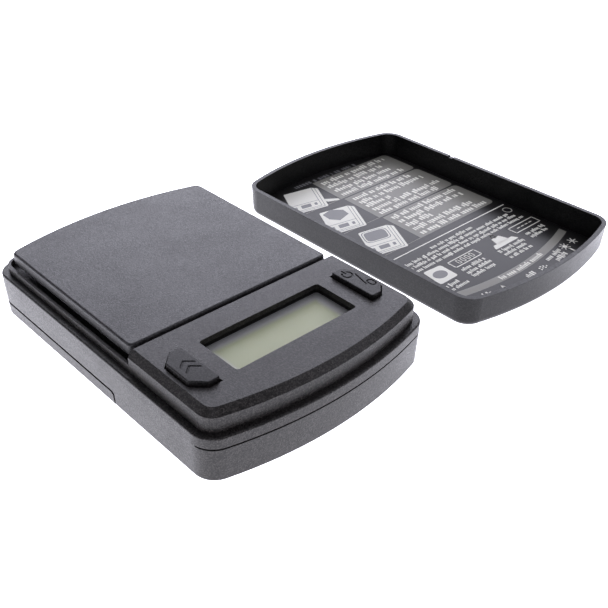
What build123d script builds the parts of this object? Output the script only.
from build123d import *
import os

# Pocket gram scale and its loose lid. The scale stands on its feet and the lid lies beside it, upside down,
# as it does while the scale is in use. The lid covers the scale when it turns over about a line that runs
# along Y, midway between the two, so the origin is on the ground under that line.
# +X runs from the scale to the lid, +Y from the keypad to the weighing platform, +Z up. Millimetres.

# Plan outline, shared by the casing and the lid: straight sides, bowed ends, rounded corners
WIDTH = 78.0
LENGTH = 114.0
END_BOW = 6.1
CORNER_RADIUS = 7.0
SPACING = 97.8

# Heights on the scale
UNDERSIDE_Z = 0.5
DOOR_PLATE_Z = 2.1
FLOOR_Z = 4.0
SEAM_Z = 4.55
FLANGE_Z = 6.5
PARTING_Z = 11.35
DECK_Z = 13.0
LEDGE_Z = 14.5
LOW_WALL_Z = 16.7
PLATFORM_Z = 17.2
PLATFORM_TOP_Z = 20.4
KEYPAD_Z = 20.9

# Feet
FRONT_FEET = [(-23, -46), (23, -46)]
REAR_FEET = [(-26, 42), (26, 42)]
FOOT_RADIUS = 4.0
FOOT_SEAT = 0.4

# Wall sizes
WALL = 1.8
DRAFT = 2.0
BASE_INSET = 0.38
FOOT_EDGE_RADIUS = 0.8
BLOCK_INSET = 2.15
LOW_WALL = 0.9
KEYPAD_WALL = 1.6
BEVEL = 1.85
PLATFORM_INSET = 4.25
FIT = 0.35

# Positions along the scale
KEYPAD_BACK = -17.1
PLATFORM_FRONT = -14.9
DOOR_FRONT = -10.6
SEAM = 0.75

# Display
DISPLAY_Y = -33.3
OPENING_X = 41.8
OPENING_Y = 15.6
GLASS_TOP_Z = 17.6
WINDOW = 0.6

# Fine groove round the front end of the casing where its two halves meet
GROOVE = 0.5
GROOVE_DEPTH = 0.8
GROOVE_BACK = -47.0

# Keys: half of the plan of one key, measured outward from the middle of the scale
KEY_Y = -33.55
KEY_LENGTH = 16.1
KEY_INNER = 26.4
KEY_OUTER = 33.5
KEY_CHAMFER = 3.6
KEY_TOP_Z = 22.3
KEY_EDGE_RADIUS = 0.3
KEY_AXIS_X = 29.9
KEY_MARK_X = 29.7
ENGRAVING = 0.25
PLATE_Z = 19.3

# Circuit board
BOARD_Z = 9.0
BOARD_TOP_Z = 10.6
SWITCH_TOP_Z = 14.1
PLUNGER_TOP_Z = 15.0

# Load cell beam and the platform carrier, centred under the platform
CELL_Y = 19.0
BEAM_X = 50.0
BEAM_Y = 12.0
BEAM_Z = 6.2
BEAM_TOP_Z = 12.2
BEAM_END = 17.0
CARRIER_Z = 15.3
CARRIER_TOP_Z = 16.9
PLATFORM_CEILING_Z = 18.6

# Battery cells, size AAA, side by side across the scale
CELL_RADIUS = 5.25
CELL_LENGTH = 44.5
CELL_Z = 7.6
CELL_ROWS = [34.0, 45.0]
BAY_X = 50.4
BAY_FRONT = 28.4
BAY_BACK = 50.6
BAY_WALL = 1.4
NUB = 1.0
SPRING_LENGTH = 3.6

# Fasteners
CASING_SCREWS = [(-30, -46.5), (30, -46.5), (-33, 45.5), (33, 45.5)]
BOARD_SCREWS = [(-14, -48), (14, -48), (20, -20.9)]

# Lid, as it lies: its plate on the ground and its rim up
LID_HEIGHT = 10.54
LID_PLATE = 1.8
LID_WALL = 1.6
LID_DRAFT = 3.0
LID_EDGE_RADIUS = 2.4
LABEL = 0.15
NOTCH = 2.2
NOTCH_DEPTH = 0.4
NOTCH_Y = 18.4


def scale_level(z):
    """The horizontal workplane at height z, centred on the scale."""
    return Plane(origin=(-SPACING / 2, 0, z))


def lid_level(z):
    """The horizontal workplane at height z, centred on the lid."""
    return Plane(origin=(SPACING / 2, 0, z))


def side_view():
    """The upright workplane along the middle of the scale: local x is Y and local y is Z."""
    return Plane(origin=(-SPACING / 2, 0, 0), x_dir=(0, 1, 0), z_dir=(1, 0, 0))


with BuildSketch() as plan:
    with BuildLine():
        left = Line((-WIDTH / 2, -LENGTH / 2 + END_BOW), (-WIDTH / 2, LENGTH / 2 - END_BOW))
        back = ThreePointArc(left @ 1, (0, LENGTH / 2), (WIDTH / 2, LENGTH / 2 - END_BOW))
        right = Line(back @ 1, (WIDTH / 2, -LENGTH / 2 + END_BOW))
        ThreePointArc(right @ 1, (0, -LENGTH / 2), left @ 0)
    make_face()
    fillet(plan.vertices(), CORNER_RADIUS)


def outline(inset, mode=Mode.ADD):
    """The plan outline moved inward, for the sketch being drawn."""
    if inset == 0:
        add(plan.sketch, mode=mode)
    else:
        offset(plan.sketch, amount=-inset, mode=mode)


def keep(y_min, y_max):
    """Cuts the sketch being drawn down to the part between two positions along the scale."""
    with Locations((0, (y_min + y_max) / 2)):
        Rectangle(2 * WIDTH, y_max - y_min, mode=Mode.INTERSECT)


def key_outline(side, grow=0.0):
    """One key in plan: straight towards the display, chamfered corners outward."""
    inner = side * (KEY_INNER - grow)
    outer = side * (KEY_OUTER + grow)
    shoulder = side * (KEY_OUTER - KEY_CHAMFER + grow / 2)
    half = KEY_LENGTH / 2 + grow
    Polygon(
        (inner, KEY_Y - half),
        (shoulder, KEY_Y - half),
        (outer, KEY_Y - half + KEY_CHAMFER),
        (outer, KEY_Y + half - KEY_CHAMFER),
        (shoulder, KEY_Y + half),
        (inner, KEY_Y + half),
        align=None,
    )


def door_profile(gap):
    """The battery door seen from the side, with one clipped corner, grown by a gap at its seam."""
    front = DOOR_FRONT - gap
    top = SEAM_Z + gap
    Polygon((front, -5), (front, top - 0.8), (front + 0.8, top), (LENGTH, top), (LENGTH, -5), align=None)


# Solid form of the lower part of the casing, with draft and a rounded lower edge
with BuildPart() as casing_form:
    with BuildSketch(scale_level(UNDERSIDE_Z)):
        outline(BASE_INSET)
    extrude(amount=PARTING_Z - UNDERSIDE_Z, taper=-DRAFT)
    fillet(casing_form.faces().sort_by(Axis.Z)[0].edges(), FOOT_EDGE_RADIUS)

# Room that the battery door takes from the lower casing, seams included
with BuildPart() as door_room:
    with BuildSketch(side_view()):
        door_profile(SEAM)
    extrude(amount=WIDTH, both=True)
    with BuildSketch(scale_level(DOOR_PLATE_Z + 0.3)):
        outline(WALL)
    extrude(amount=10, mode=Mode.SUBTRACT)

# Lower casing: outer wall, front floor, raised rear floor over the door, battery bay
with BuildPart() as lower_casing:
    add(casing_form.part)
    with BuildSketch(scale_level(FLANGE_Z)):
        outline(WALL)
    extrude(amount=PARTING_Z, mode=Mode.SUBTRACT)
    with BuildSketch(scale_level(DOOR_PLATE_Z)):
        outline(WALL)
        keep(-LENGTH, DOOR_FRONT - 2.0)
    extrude(amount=PARTING_Z, mode=Mode.SUBTRACT)
    with BuildSketch(scale_level(FLOOR_Z)):
        outline(WALL + 1.6)
        keep(DOOR_FRONT + 1.2, LENGTH)
    extrude(amount=PARTING_Z, mode=Mode.SUBTRACT)
    add(door_room.part, mode=Mode.SUBTRACT)
    # groove at the joint with the upper casing
    with BuildSketch(scale_level(PARTING_Z - GROOVE)):
        outline(-1)
        outline(GROOVE_DEPTH, mode=Mode.SUBTRACT)
        keep(-LENGTH, GROOVE_BACK)
    extrude(amount=GROOVE, mode=Mode.SUBTRACT)
    # grooves for the rails of the door
    with BuildSketch(scale_level(3.0)):
        with Locations((-WIDTH / 2 + WALL, 24), (WIDTH / 2 - WALL, 24)):
            Rectangle(1.6, 66)
    extrude(amount=1.1, mode=Mode.SUBTRACT)
    # battery bay, open downward
    with BuildSketch(scale_level(DOOR_PLATE_Z + 0.3)):
        with Locations((0, (BAY_FRONT + BAY_BACK) / 2)):
            Rectangle(BAY_X + 2 * BAY_WALL, BAY_BACK - BAY_FRONT + 2 * BAY_WALL)
    extrude(amount=12.8 - DOOR_PLATE_Z - 0.3)
    with BuildSketch(scale_level(0)):
        with Locations((0, (BAY_FRONT + BAY_BACK) / 2)):
            Rectangle(BAY_X, BAY_BACK - BAY_FRONT)
    extrude(amount=20, mode=Mode.SUBTRACT)
    # seat for the fixed end of the load cell, and its two screw holes
    with BuildSketch(scale_level(DOOR_PLATE_Z + 0.3)):
        with Locations((-BEAM_END, CELL_Y)):
            Rectangle(16, BEAM_Y + 2)
    extrude(amount=BEAM_Z - DOOR_PLATE_Z - 0.3)
    with Locations(scale_level(DOOR_PLATE_Z + 0.3)):
        with Locations((-BEAM_END - 4, CELL_Y), (-BEAM_END + 4, CELL_Y)):
            Cylinder(2.9, 2.0, align=(Align.CENTER, Align.CENTER, Align.MIN), mode=Mode.SUBTRACT)
            Cylinder(1.6, 10, align=(Align.CENTER, Align.CENTER, Align.MIN), mode=Mode.SUBTRACT)
    # towers for the casing screws
    for x, y in CASING_SCREWS:
        foot = UNDERSIDE_Z if y < 0 else DOOR_PLATE_Z + 0.3
        with BuildSketch(scale_level(foot)):
            with Locations((x, y)):
                Circle(3.2)
        extrude(amount=8.8 - foot)
        with BuildSketch(scale_level(0)):
            with Locations((x, y)):
                Circle(2.4)
        extrude(amount=4.2, mode=Mode.SUBTRACT)
        with BuildSketch(scale_level(0)):
            with Locations((x, y)):
                Circle(1.3)
        extrude(amount=20, mode=Mode.SUBTRACT)
    # posts under the circuit board
    with BuildSketch(scale_level(DOOR_PLATE_Z)):
        with Locations(*BOARD_SCREWS):
            Circle(2.2)
    extrude(amount=BOARD_Z - DOOR_PLATE_Z)
    with BuildSketch(scale_level(BOARD_Z - 5)):
        with Locations(*BOARD_SCREWS):
            Circle(0.85)
    extrude(amount=10, mode=Mode.SUBTRACT)
    # pockets for the two front feet
    with BuildSketch(scale_level(0)):
        with Locations(*FRONT_FEET):
            Circle(FOOT_RADIUS + 0.1)
    extrude(amount=UNDERSIDE_Z + FOOT_SEAT, mode=Mode.SUBTRACT)

# Battery door: plate, low walls that carry on the outer wall, rails and finger ridges
with BuildPart() as battery_door:
    add(casing_form.part)
    with BuildSketch(side_view()):
        door_profile(0)
    extrude(amount=WIDTH, both=True, mode=Mode.INTERSECT)
    with BuildSketch(scale_level(DOOR_PLATE_Z)):
        outline(WALL - 0.3)
    extrude(amount=10, mode=Mode.SUBTRACT)
    with BuildSketch(scale_level(3.2)):
        with Locations((-WIDTH / 2 + 1.9, 20), (WIDTH / 2 - 1.9, 20)):
            Rectangle(1.0, 40)
    extrude(amount=0.7)
    with BuildSketch(scale_level(UNDERSIDE_Z)):
        with GridLocations(0, 3, 1, 5):
            SlotOverall(26, 1.2)
    extrude(amount=0.5, mode=Mode.SUBTRACT)
    with BuildSketch(scale_level(0)):
        with Locations(*REAR_FEET):
            Circle(FOOT_RADIUS + 0.1)
    extrude(amount=UNDERSIDE_Z + FOOT_SEAT, mode=Mode.SUBTRACT)

# Upper casing: skirt, ledge for the lid, low wall round the platform, keypad block with its bevel
with BuildPart() as upper_casing:
    with BuildSketch(scale_level(PARTING_Z)):
        outline(0)
    extrude(amount=LEDGE_Z - PARTING_Z)
    fillet(upper_casing.faces().sort_by(Axis.Z)[-1].edges(), 0.5)
    with BuildSketch(scale_level(LEDGE_Z)):
        outline(BLOCK_INSET)
    extrude(amount=LOW_WALL_Z - LEDGE_Z)
    with BuildSketch(scale_level(LOW_WALL_Z)):
        outline(BLOCK_INSET)
        keep(-LENGTH, KEYPAD_BACK)
    extrude(amount=KEYPAD_Z - LOW_WALL_Z)
    rim_edges = upper_casing.faces().sort_by(Axis.Z)[-1].edges().sort_by(Axis.Y)[:-1]
    chamfer(rim_edges, BEVEL)
    # hollow below the deck, and the tray over it that the platform sits in
    with BuildSketch(scale_level(PARTING_Z)):
        outline(WALL)
    extrude(amount=DECK_Z - PARTING_Z, mode=Mode.SUBTRACT)
    with BuildSketch(scale_level(LEDGE_Z)):
        outline(BLOCK_INSET + LOW_WALL)
        keep(KEYPAD_BACK, LENGTH)
    extrude(amount=10, mode=Mode.SUBTRACT)
    # hollow of the keypad block
    with BuildSketch(scale_level(PARTING_Z)):
        outline(BLOCK_INSET + KEYPAD_WALL)
        keep(-LENGTH, KEYPAD_BACK - 1.5)
    extrude(amount=PLATE_Z - PARTING_Z, mode=Mode.SUBTRACT)
    # display opening and key openings
    with BuildSketch(scale_level(PLATE_Z)):
        with Locations((0, DISPLAY_Y)):
            RectangleRounded(OPENING_X, OPENING_Y, 1.0)
    extrude(amount=5, mode=Mode.SUBTRACT)
    for side in (-1, 1):
        with BuildSketch(scale_level(PLATE_Z)):
            key_outline(side, FIT)
        extrude(amount=5, mode=Mode.SUBTRACT)
    # opening over the free end of the load cell
    with BuildSketch(scale_level(DECK_Z)):
        with Locations((BEAM_END, CELL_Y)):
            RectangleRounded(19, 15, 2)
    extrude(amount=5, mode=Mode.SUBTRACT)
    # bosses for the casing screws, and the stops under the carrier
    for x, y in CASING_SCREWS:
        ceiling = DECK_Z if y > 0 else PLATE_Z
        with BuildSketch(scale_level(9.0)):
            with Locations((x, y)):
                Circle(2.8)
        extrude(amount=ceiling - 9.0)
        with BuildSketch(scale_level(9.0)):
            with Locations((x, y)):
                Circle(1.15)
        extrude(amount=3.6, mode=Mode.SUBTRACT)
    with BuildSketch(scale_level(LEDGE_Z)):
        with Locations((0, CELL_Y)):
            with GridLocations(46, 34, 2, 2):
                Circle(2)
    extrude(amount=0.3)

# Weighing platform: a shallow inverted tray with a softened upper edge
with BuildPart() as weighing_platform:
    with BuildSketch(scale_level(PLATFORM_Z)) as platform_plan:
        outline(PLATFORM_INSET)
        keep(PLATFORM_FRONT, LENGTH)
        fillet(platform_plan.vertices().group_by(Axis.Y)[0], 1.6)
    extrude(amount=PLATFORM_TOP_Z - PLATFORM_Z)
    fillet(weighing_platform.faces().sort_by(Axis.Z)[-1].edges(), 0.8)
    with BuildSketch(scale_level(PLATFORM_Z)):
        offset(platform_plan.sketch_local, amount=-1.5)
    extrude(amount=PLATFORM_CEILING_Z - PLATFORM_Z, mode=Mode.SUBTRACT)

# Platform carrier: a spider bolted to the free end of the load cell
with BuildPart() as platform_carrier:
    with BuildSketch(scale_level(CARRIER_Z)):
        with Locations((0, CELL_Y)):
            RectangleRounded(56, 44, 5)
        with Locations((-9, CELL_Y)):
            with GridLocations(0, 26, 1, 2):
                RectangleRounded(26, 12, 3, mode=Mode.SUBTRACT)
    extrude(amount=CARRIER_TOP_Z - CARRIER_Z)
    with BuildSketch(scale_level(BEAM_TOP_Z)):
        with Locations((BEAM_END, CELL_Y)):
            RectangleRounded(16, 11, 1.5)
    extrude(amount=CARRIER_Z - BEAM_TOP_Z)
    with BuildSketch(scale_level(BEAM_TOP_Z)):
        with Locations((BEAM_END - 4, CELL_Y), (BEAM_END + 4, CELL_Y)):
            Circle(1.6)
    extrude(amount=10, mode=Mode.SUBTRACT)
    with BuildSketch(scale_level(CARRIER_TOP_Z - 1.8)):
        with Locations((BEAM_END - 4, CELL_Y), (BEAM_END + 4, CELL_Y)):
            Circle(2.9)
    extrude(amount=5, mode=Mode.SUBTRACT)

# Rubber pads between the carrier and the platform
with BuildPart() as platform_pads:
    with BuildSketch(scale_level(CARRIER_TOP_Z)):
        with Locations((0, CELL_Y)):
            with GridLocations(46, 34, 2, 2):
                Circle(3.5)
    extrude(amount=PLATFORM_CEILING_Z - CARRIER_TOP_Z)

# Load cell: an aluminium beam thinned by two joined bores, so that it bends a little under load
with BuildPart() as load_cell:
    with BuildSketch(scale_level(BEAM_Z)):
        with Locations((0, CELL_Y)):
            Rectangle(BEAM_X, BEAM_Y)
    extrude(amount=BEAM_TOP_Z - BEAM_Z)
    beam_middle = (-SPACING / 2, CELL_Y, (BEAM_Z + BEAM_TOP_Z) / 2)
    with BuildSketch(Plane(origin=beam_middle, x_dir=(1, 0, 0), z_dir=(0, 1, 0))):
        with GridLocations(11, 0, 2, 1):
            Circle(2.4)
        Rectangle(11, 1.6)
    extrude(amount=BEAM_Y, both=True, mode=Mode.SUBTRACT)
    with BuildSketch(scale_level(0)):
        with Locations((0, CELL_Y)):
            with GridLocations(2 * BEAM_END, 0, 2, 1):
                with GridLocations(8, 0, 2, 1):
                    Circle(1.5)
    extrude(amount=20, mode=Mode.SUBTRACT)

# Sealant over the strain gauges on the beam
with BuildPart() as gauge_seal:
    with BuildSketch(scale_level(BEAM_TOP_Z)):
        with Locations((-0.5, CELL_Y)):
            RectangleRounded(15, 8, 2)
    extrude(amount=0.6)
    fillet(gauge_seal.faces().sort_by(Axis.Z)[-1].edges(), 0.3)


def screws(spots, head_z, head, tip_z, shank_radius, head_radius):
    """Pan head screws with a cross slot. A head above the tip points the screw down."""
    with BuildSketch(scale_level(head_z)) as heads:
        with Locations(*spots):
            Circle(head_radius)
    extrude(heads.sketch, amount=head)
    with BuildSketch(scale_level(head_z)) as shanks:
        with Locations(*spots):
            Circle(shank_radius)
    extrude(shanks.sketch, amount=tip_z - head_z)
    with BuildSketch(scale_level(head_z + head)) as slots:
        with Locations(*spots):
            Rectangle(1.3 * head_radius, 0.5)
            Rectangle(0.5, 1.3 * head_radius)
    extrude(slots.sketch, amount=-0.6 if head > 0 else 0.6, mode=Mode.SUBTRACT)


# Four screws that hold the casing halves together, driven from below
with BuildPart() as casing_screws:
    screws(CASING_SCREWS, 4.2, -1.6, 12.4, 1.1, 2.1)

# Two screws that hold the fixed end of the load cell, driven from below
with BuildPart() as load_cell_screws:
    spots = [(-BEAM_END - 4, CELL_Y), (-BEAM_END + 4, CELL_Y)]
    screws(spots, 4.4, -1.7, 11.0, 1.45, 2.7)

# Two screws that hold the carrier to the free end of the load cell, driven from above
with BuildPart() as carrier_screws:
    spots = [(BEAM_END - 4, CELL_Y), (BEAM_END + 4, CELL_Y)]
    screws(spots, 15.1, 1.7, 8.0, 1.45, 2.7)

# Circuit board, notched round the front casing screws
with BuildPart() as circuit_board:
    with BuildSketch(scale_level(BOARD_Z)) as board_plan:
        outline(4.5)
        keep(-LENGTH, -18.9)
        with Locations(*CASING_SCREWS[:2]):
            Circle(3.7, mode=Mode.SUBTRACT)
        with Locations(*BOARD_SCREWS):
            Circle(1.15, mode=Mode.SUBTRACT)
    extrude(amount=BOARD_TOP_Z - BOARD_Z)

# Screws that hold the board to its posts
with BuildPart() as board_screws:
    screws(BOARD_SCREWS, BOARD_TOP_Z, 0.9, 5.0, 0.75, 1.6)

# Controller chip and passive parts under the board
with BuildPart() as microchip:
    with BuildSketch(scale_level(BOARD_Z - 1.2)):
        with Locations((6, -34)):
            RectangleRounded(9, 9, 0.4)
    extrude(amount=1.2)
with BuildPart() as board_components:
    with BuildSketch(scale_level(BOARD_Z - 0.8)):
        with Locations((-10, -34)):
            with GridLocations(4, 3.2, 3, 3):
                Rectangle(2.2, 1.3)
    extrude(amount=0.8)

# Display glass in its holder. The holder stands on the board and its collar lines the display opening
with BuildPart() as display_glass:
    with BuildSketch(scale_level(GLASS_TOP_Z - 2.2)):
        with Locations((0, DISPLAY_Y)):
            Rectangle(44, 18.6)
    extrude(amount=2.2)
with BuildPart() as display_window:
    with BuildSketch(scale_level(GLASS_TOP_Z)):
        with Locations((0, DISPLAY_Y)):
            Rectangle(44, 18.6)
    extrude(amount=WINDOW)
with BuildPart() as display_holder:
    with BuildSketch(scale_level(BOARD_TOP_Z)):
        with Locations((0, DISPLAY_Y)):
            Rectangle(46.8, 21.4)
    extrude(amount=PLATE_Z - 0.02 - BOARD_TOP_Z)
    with BuildSketch(scale_level(BOARD_TOP_Z)):
        with Locations((0, DISPLAY_Y)):
            Rectangle(44.1, 18.7)
    extrude(amount=GLASS_TOP_Z + WINDOW - BOARD_TOP_Z, mode=Mode.SUBTRACT)
    with BuildSketch(scale_level(GLASS_TOP_Z)):
        with Locations((0, DISPLAY_Y)):
            RectangleRounded(OPENING_X, OPENING_Y, 1.0)
    extrude(amount=10, mode=Mode.SUBTRACT)
with BuildPart() as contact_strips:
    with BuildSketch(scale_level(BOARD_TOP_Z)):
        with Locations((0, DISPLAY_Y)):
            with GridLocations(0, 15.6, 1, 2):
                Rectangle(38, 2.2)
    extrude(amount=GLASS_TOP_Z - 2.2 - BOARD_TOP_Z)


def switch_block(side):
    """The square body of a key switch with a bore for its plunger."""
    with BuildSketch(scale_level(BOARD_TOP_Z)) as block:
        with Locations((side * KEY_AXIS_X, KEY_Y)):
            Rectangle(6, 6)
    extrude(block.sketch, amount=SWITCH_TOP_Z - BOARD_TOP_Z)
    with BuildSketch(scale_level(BOARD_TOP_Z + 1.2)) as bore:
        with Locations((side * KEY_AXIS_X, KEY_Y)):
            Circle(1.85)
    extrude(bore.sketch, amount=5, mode=Mode.SUBTRACT)


def switch_plunger(side):
    """The round plunger that the key pushes down into its switch."""
    with BuildSketch(scale_level(BOARD_TOP_Z + 2.0)) as rod:
        with Locations((side * KEY_AXIS_X, KEY_Y)):
            Circle(1.7)
    extrude(rod.sketch, amount=PLUNGER_TOP_Z - BOARD_TOP_Z - 2.0)


def key_body(key, side):
    """A key: cap with softened edges, retaining flange under the keypad plate, stem down to the plunger."""
    with BuildSketch(scale_level(PLATE_Z - 1.2)) as cap:
        key_outline(side)
        fillet(cap.vertices(), 0.8)
    extrude(cap.sketch, amount=KEY_TOP_Z - PLATE_Z + 1.2)
    fillet(key.faces().sort_by(Axis.Z)[-1].edges(), KEY_EDGE_RADIUS)
    with BuildSketch(scale_level(PLATE_Z - 1.2)) as flange:
        key_outline(side, 0.9)
    extrude(flange.sketch, amount=1.1)
    with BuildSketch(scale_level(PLUNGER_TOP_Z)) as stem:
        with Locations((side * KEY_AXIS_X, KEY_Y)):
            Circle(1.6)
    extrude(stem.sketch, amount=PLATE_Z - 1.2 - PLUNGER_TOP_Z)


# Mode key, on the left, engraved with a pair of chevrons
with BuildPart() as mode_button:
    key_body(mode_button, -1)
    with BuildSketch(scale_level(KEY_TOP_Z)):
        with Locations((-KEY_MARK_X, KEY_Y + 1.4), (-KEY_MARK_X, KEY_Y - 1.1)):
            Polygon((-2.2, -1.1), (0, 0.9), (2.2, -1.1), (2.2, -0.5), (0, 1.5), (-2.2, -0.5), align=None)
    extrude(amount=-ENGRAVING, mode=Mode.SUBTRACT)
with BuildPart() as mode_switch:
    switch_block(-1)
with BuildPart() as mode_plunger:
    switch_plunger(-1)

# Power and zero key, on the right, engraved with the common power sign, a stroke and a nought
with BuildPart() as power_button:
    key_body(power_button, 1)
    with BuildSketch(scale_level(KEY_TOP_Z)):
        with Locations((KEY_MARK_X - 0.7, KEY_Y + 4.2)):
            Circle(1.7)
            Circle(1.25, mode=Mode.SUBTRACT)
        with Locations((KEY_MARK_X - 0.7, KEY_Y + 5.6)):
            Rectangle(1.5, 1.7, mode=Mode.SUBTRACT)
            Rectangle(0.45, 1.9)
        with Locations((KEY_MARK_X + 0.6, KEY_Y + 0.2)):
            Rectangle(0.4, 6.0, rotation=-14)
        with Locations((KEY_MARK_X + 1.7, KEY_Y - 3.0)):
            SlotOverall(3.2, 2.2, rotation=90)
            SlotOverall(2.4, 1.4, rotation=90, mode=Mode.SUBTRACT)
    extrude(amount=-ENGRAVING, mode=Mode.SUBTRACT)
with BuildPart() as power_switch:
    switch_block(1)
with BuildPart() as power_plunger:
    switch_plunger(1)


def battery(row, side):
    """One cylindrical cell lying along X, its positive end towards the given side."""
    tip = side * (BAY_X / 2 - 0.45)
    level = Plane(origin=(-SPACING / 2 + tip, row, CELL_Z), z_dir=(-side, 0, 0))
    with BuildSketch(level) as nub:
        Circle(1.9)
    extrude(nub.sketch, amount=NUB)
    with BuildSketch(level.offset(NUB)) as can:
        Circle(CELL_RADIUS)
    extrude(can.sketch, amount=CELL_LENGTH - NUB)


# Two battery cells, in series
with BuildPart() as battery_front:
    battery(CELL_ROWS[0], 1)
    fillet(battery_front.edges().filter_by(GeomType.CIRCLE).filter_by(lambda e: e.radius > 5), 0.5)
with BuildPart() as battery_back:
    battery(CELL_ROWS[1], -1)
    fillet(battery_back.edges().filter_by(GeomType.CIRCLE).filter_by(lambda e: e.radius > 5), 0.5)

# Sheet metal contacts: one bridge for both cells on the right, two terminals on the left
with BuildPart() as contact_plates:
    with BuildSketch(scale_level(3.6)):
        with Locations((BAY_X / 2 - 0.25, sum(CELL_ROWS) / 2)):
            Rectangle(0.4, 19)
        with Locations(*[(-BAY_X / 2 + 0.25, row) for row in CELL_ROWS]):
            Rectangle(0.4, 8.4)
    extrude(amount=8)

# Coil springs at the negative ends
with BuildPart() as contact_springs:
    for row, side in zip(CELL_ROWS, (-1, 1)):
        start = (-SPACING / 2 + side * (BAY_X / 2 - 0.85), row, CELL_Z)
        with BuildLine():
            coil = Helix(pitch=1.3, height=SPRING_LENGTH, radius=2.6, center=start, direction=(-side, 0, 0))
        with BuildSketch(Plane(origin=coil @ 0, z_dir=coil % 0)):
            Circle(0.3)
        sweep(path=coil)

# Four fine wires from the gauges to the board
with BuildPart() as load_cell_wires:
    for x in (-4.5, -1.5, 1.5, 4.5):
        with BuildLine(side_view().offset(x)):
            path = FilletPolyline((12.7, 11.4), (6, 11.9), (-12, 11.9), (-17, 11.05), (-20.9, 11.05), radius=3)
        with BuildSketch(Plane(origin=path @ 0, z_dir=path % 0)):
            Circle(0.4)
        sweep(path=path)

# Two leads from the battery terminals to the board, one over the other
with BuildPart() as battery_leads:
    for row, z, x_end in ((CELL_ROWS[0], 11.4, -24), (CELL_ROWS[1], 10.0, -26)):
        with BuildLine(Plane(origin=(-SPACING / 2, 0, 0))):
            path = FilletPolyline(
                (-27.4, row, z),
                (-28.6, row - 3, z),
                (-28.6, -10, z),
                (x_end, -16, 11.2),
                (x_end, -20.6, 11.2),
                radius=2,
            )
        with BuildSketch(Plane(origin=path @ 0, z_dir=path % 0)):
            Circle(0.5)
        sweep(path=path)

# Rubber feet: two under the casing, two under the battery door
with BuildPart() as front_feet:
    with BuildSketch(scale_level(0)):
        with Locations(*FRONT_FEET):
            Circle(FOOT_RADIUS)
    extrude(amount=UNDERSIDE_Z + FOOT_SEAT)
with BuildPart() as rear_feet:
    with BuildSketch(scale_level(0)):
        with Locations(*REAR_FEET):
            Circle(FOOT_RADIUS)
    extrude(amount=UNDERSIDE_Z + FOOT_SEAT)

# Lid: a shallow tray with drafted walls, a rounded lower edge and a small notch in its rim
with BuildPart() as lid:
    with BuildSketch(lid_level(0)):
        outline(0.55)
    extrude(amount=LID_HEIGHT, taper=-LID_DRAFT)
    fillet(lid.faces().sort_by(Axis.Z)[0].edges(), LID_EDGE_RADIUS)
    with BuildSketch(lid_level(LID_PLATE)):
        outline(LID_WALL + 0.46)
    extrude(amount=LID_HEIGHT - LID_PLATE, taper=-LID_DRAFT, mode=Mode.SUBTRACT)
    with BuildSketch(lid_level(LID_HEIGHT - NOTCH_DEPTH)):
        with Locations((WIDTH / 2, NOTCH_Y)):
            Rectangle(2 * NOTCH, NOTCH)
    extrude(amount=NOTCH_DEPTH, mode=Mode.SUBTRACT)

# Printed label on the floor of the lid
with BuildPart() as lid_label:
    with BuildSketch(lid_level(LID_PLATE)):
        outline(3.4)
    extrude(amount=LABEL)

pieces = {
    "lower_casing": lower_casing,
    "upper_casing": upper_casing,
    "battery_door": battery_door,
    "front_feet": front_feet,
    "rear_feet": rear_feet,
    "casing_screws": casing_screws,
    "weighing_platform": weighing_platform,
    "platform_carrier": platform_carrier,
    "platform_pads": platform_pads,
    "carrier_screws": carrier_screws,
    "load_cell": load_cell,
    "gauge_seal": gauge_seal,
    "load_cell_screws": load_cell_screws,
    "load_cell_wires": load_cell_wires,
    "circuit_board": circuit_board,
    "board_screws": board_screws,
    "microchip": microchip,
    "board_components": board_components,
    "display_glass": display_glass,
    "display_window": display_window,
    "display_holder": display_holder,
    "contact_strips": contact_strips,
    "mode_button": mode_button,
    "mode_plunger": mode_plunger,
    "mode_switch": mode_switch,
    "power_button": power_button,
    "power_plunger": power_plunger,
    "power_switch": power_switch,
    "battery_front": battery_front,
    "battery_back": battery_back,
    "contact_plates": contact_plates,
    "contact_springs": contact_springs,
    "battery_leads": battery_leads,
    "lid": lid,
    "lid_label": lid_label,
}
os.makedirs("parts", exist_ok=True)
for name, piece in pieces.items():
    piece.part.label = name
    export_step(piece.part, f"parts/{name}.step")
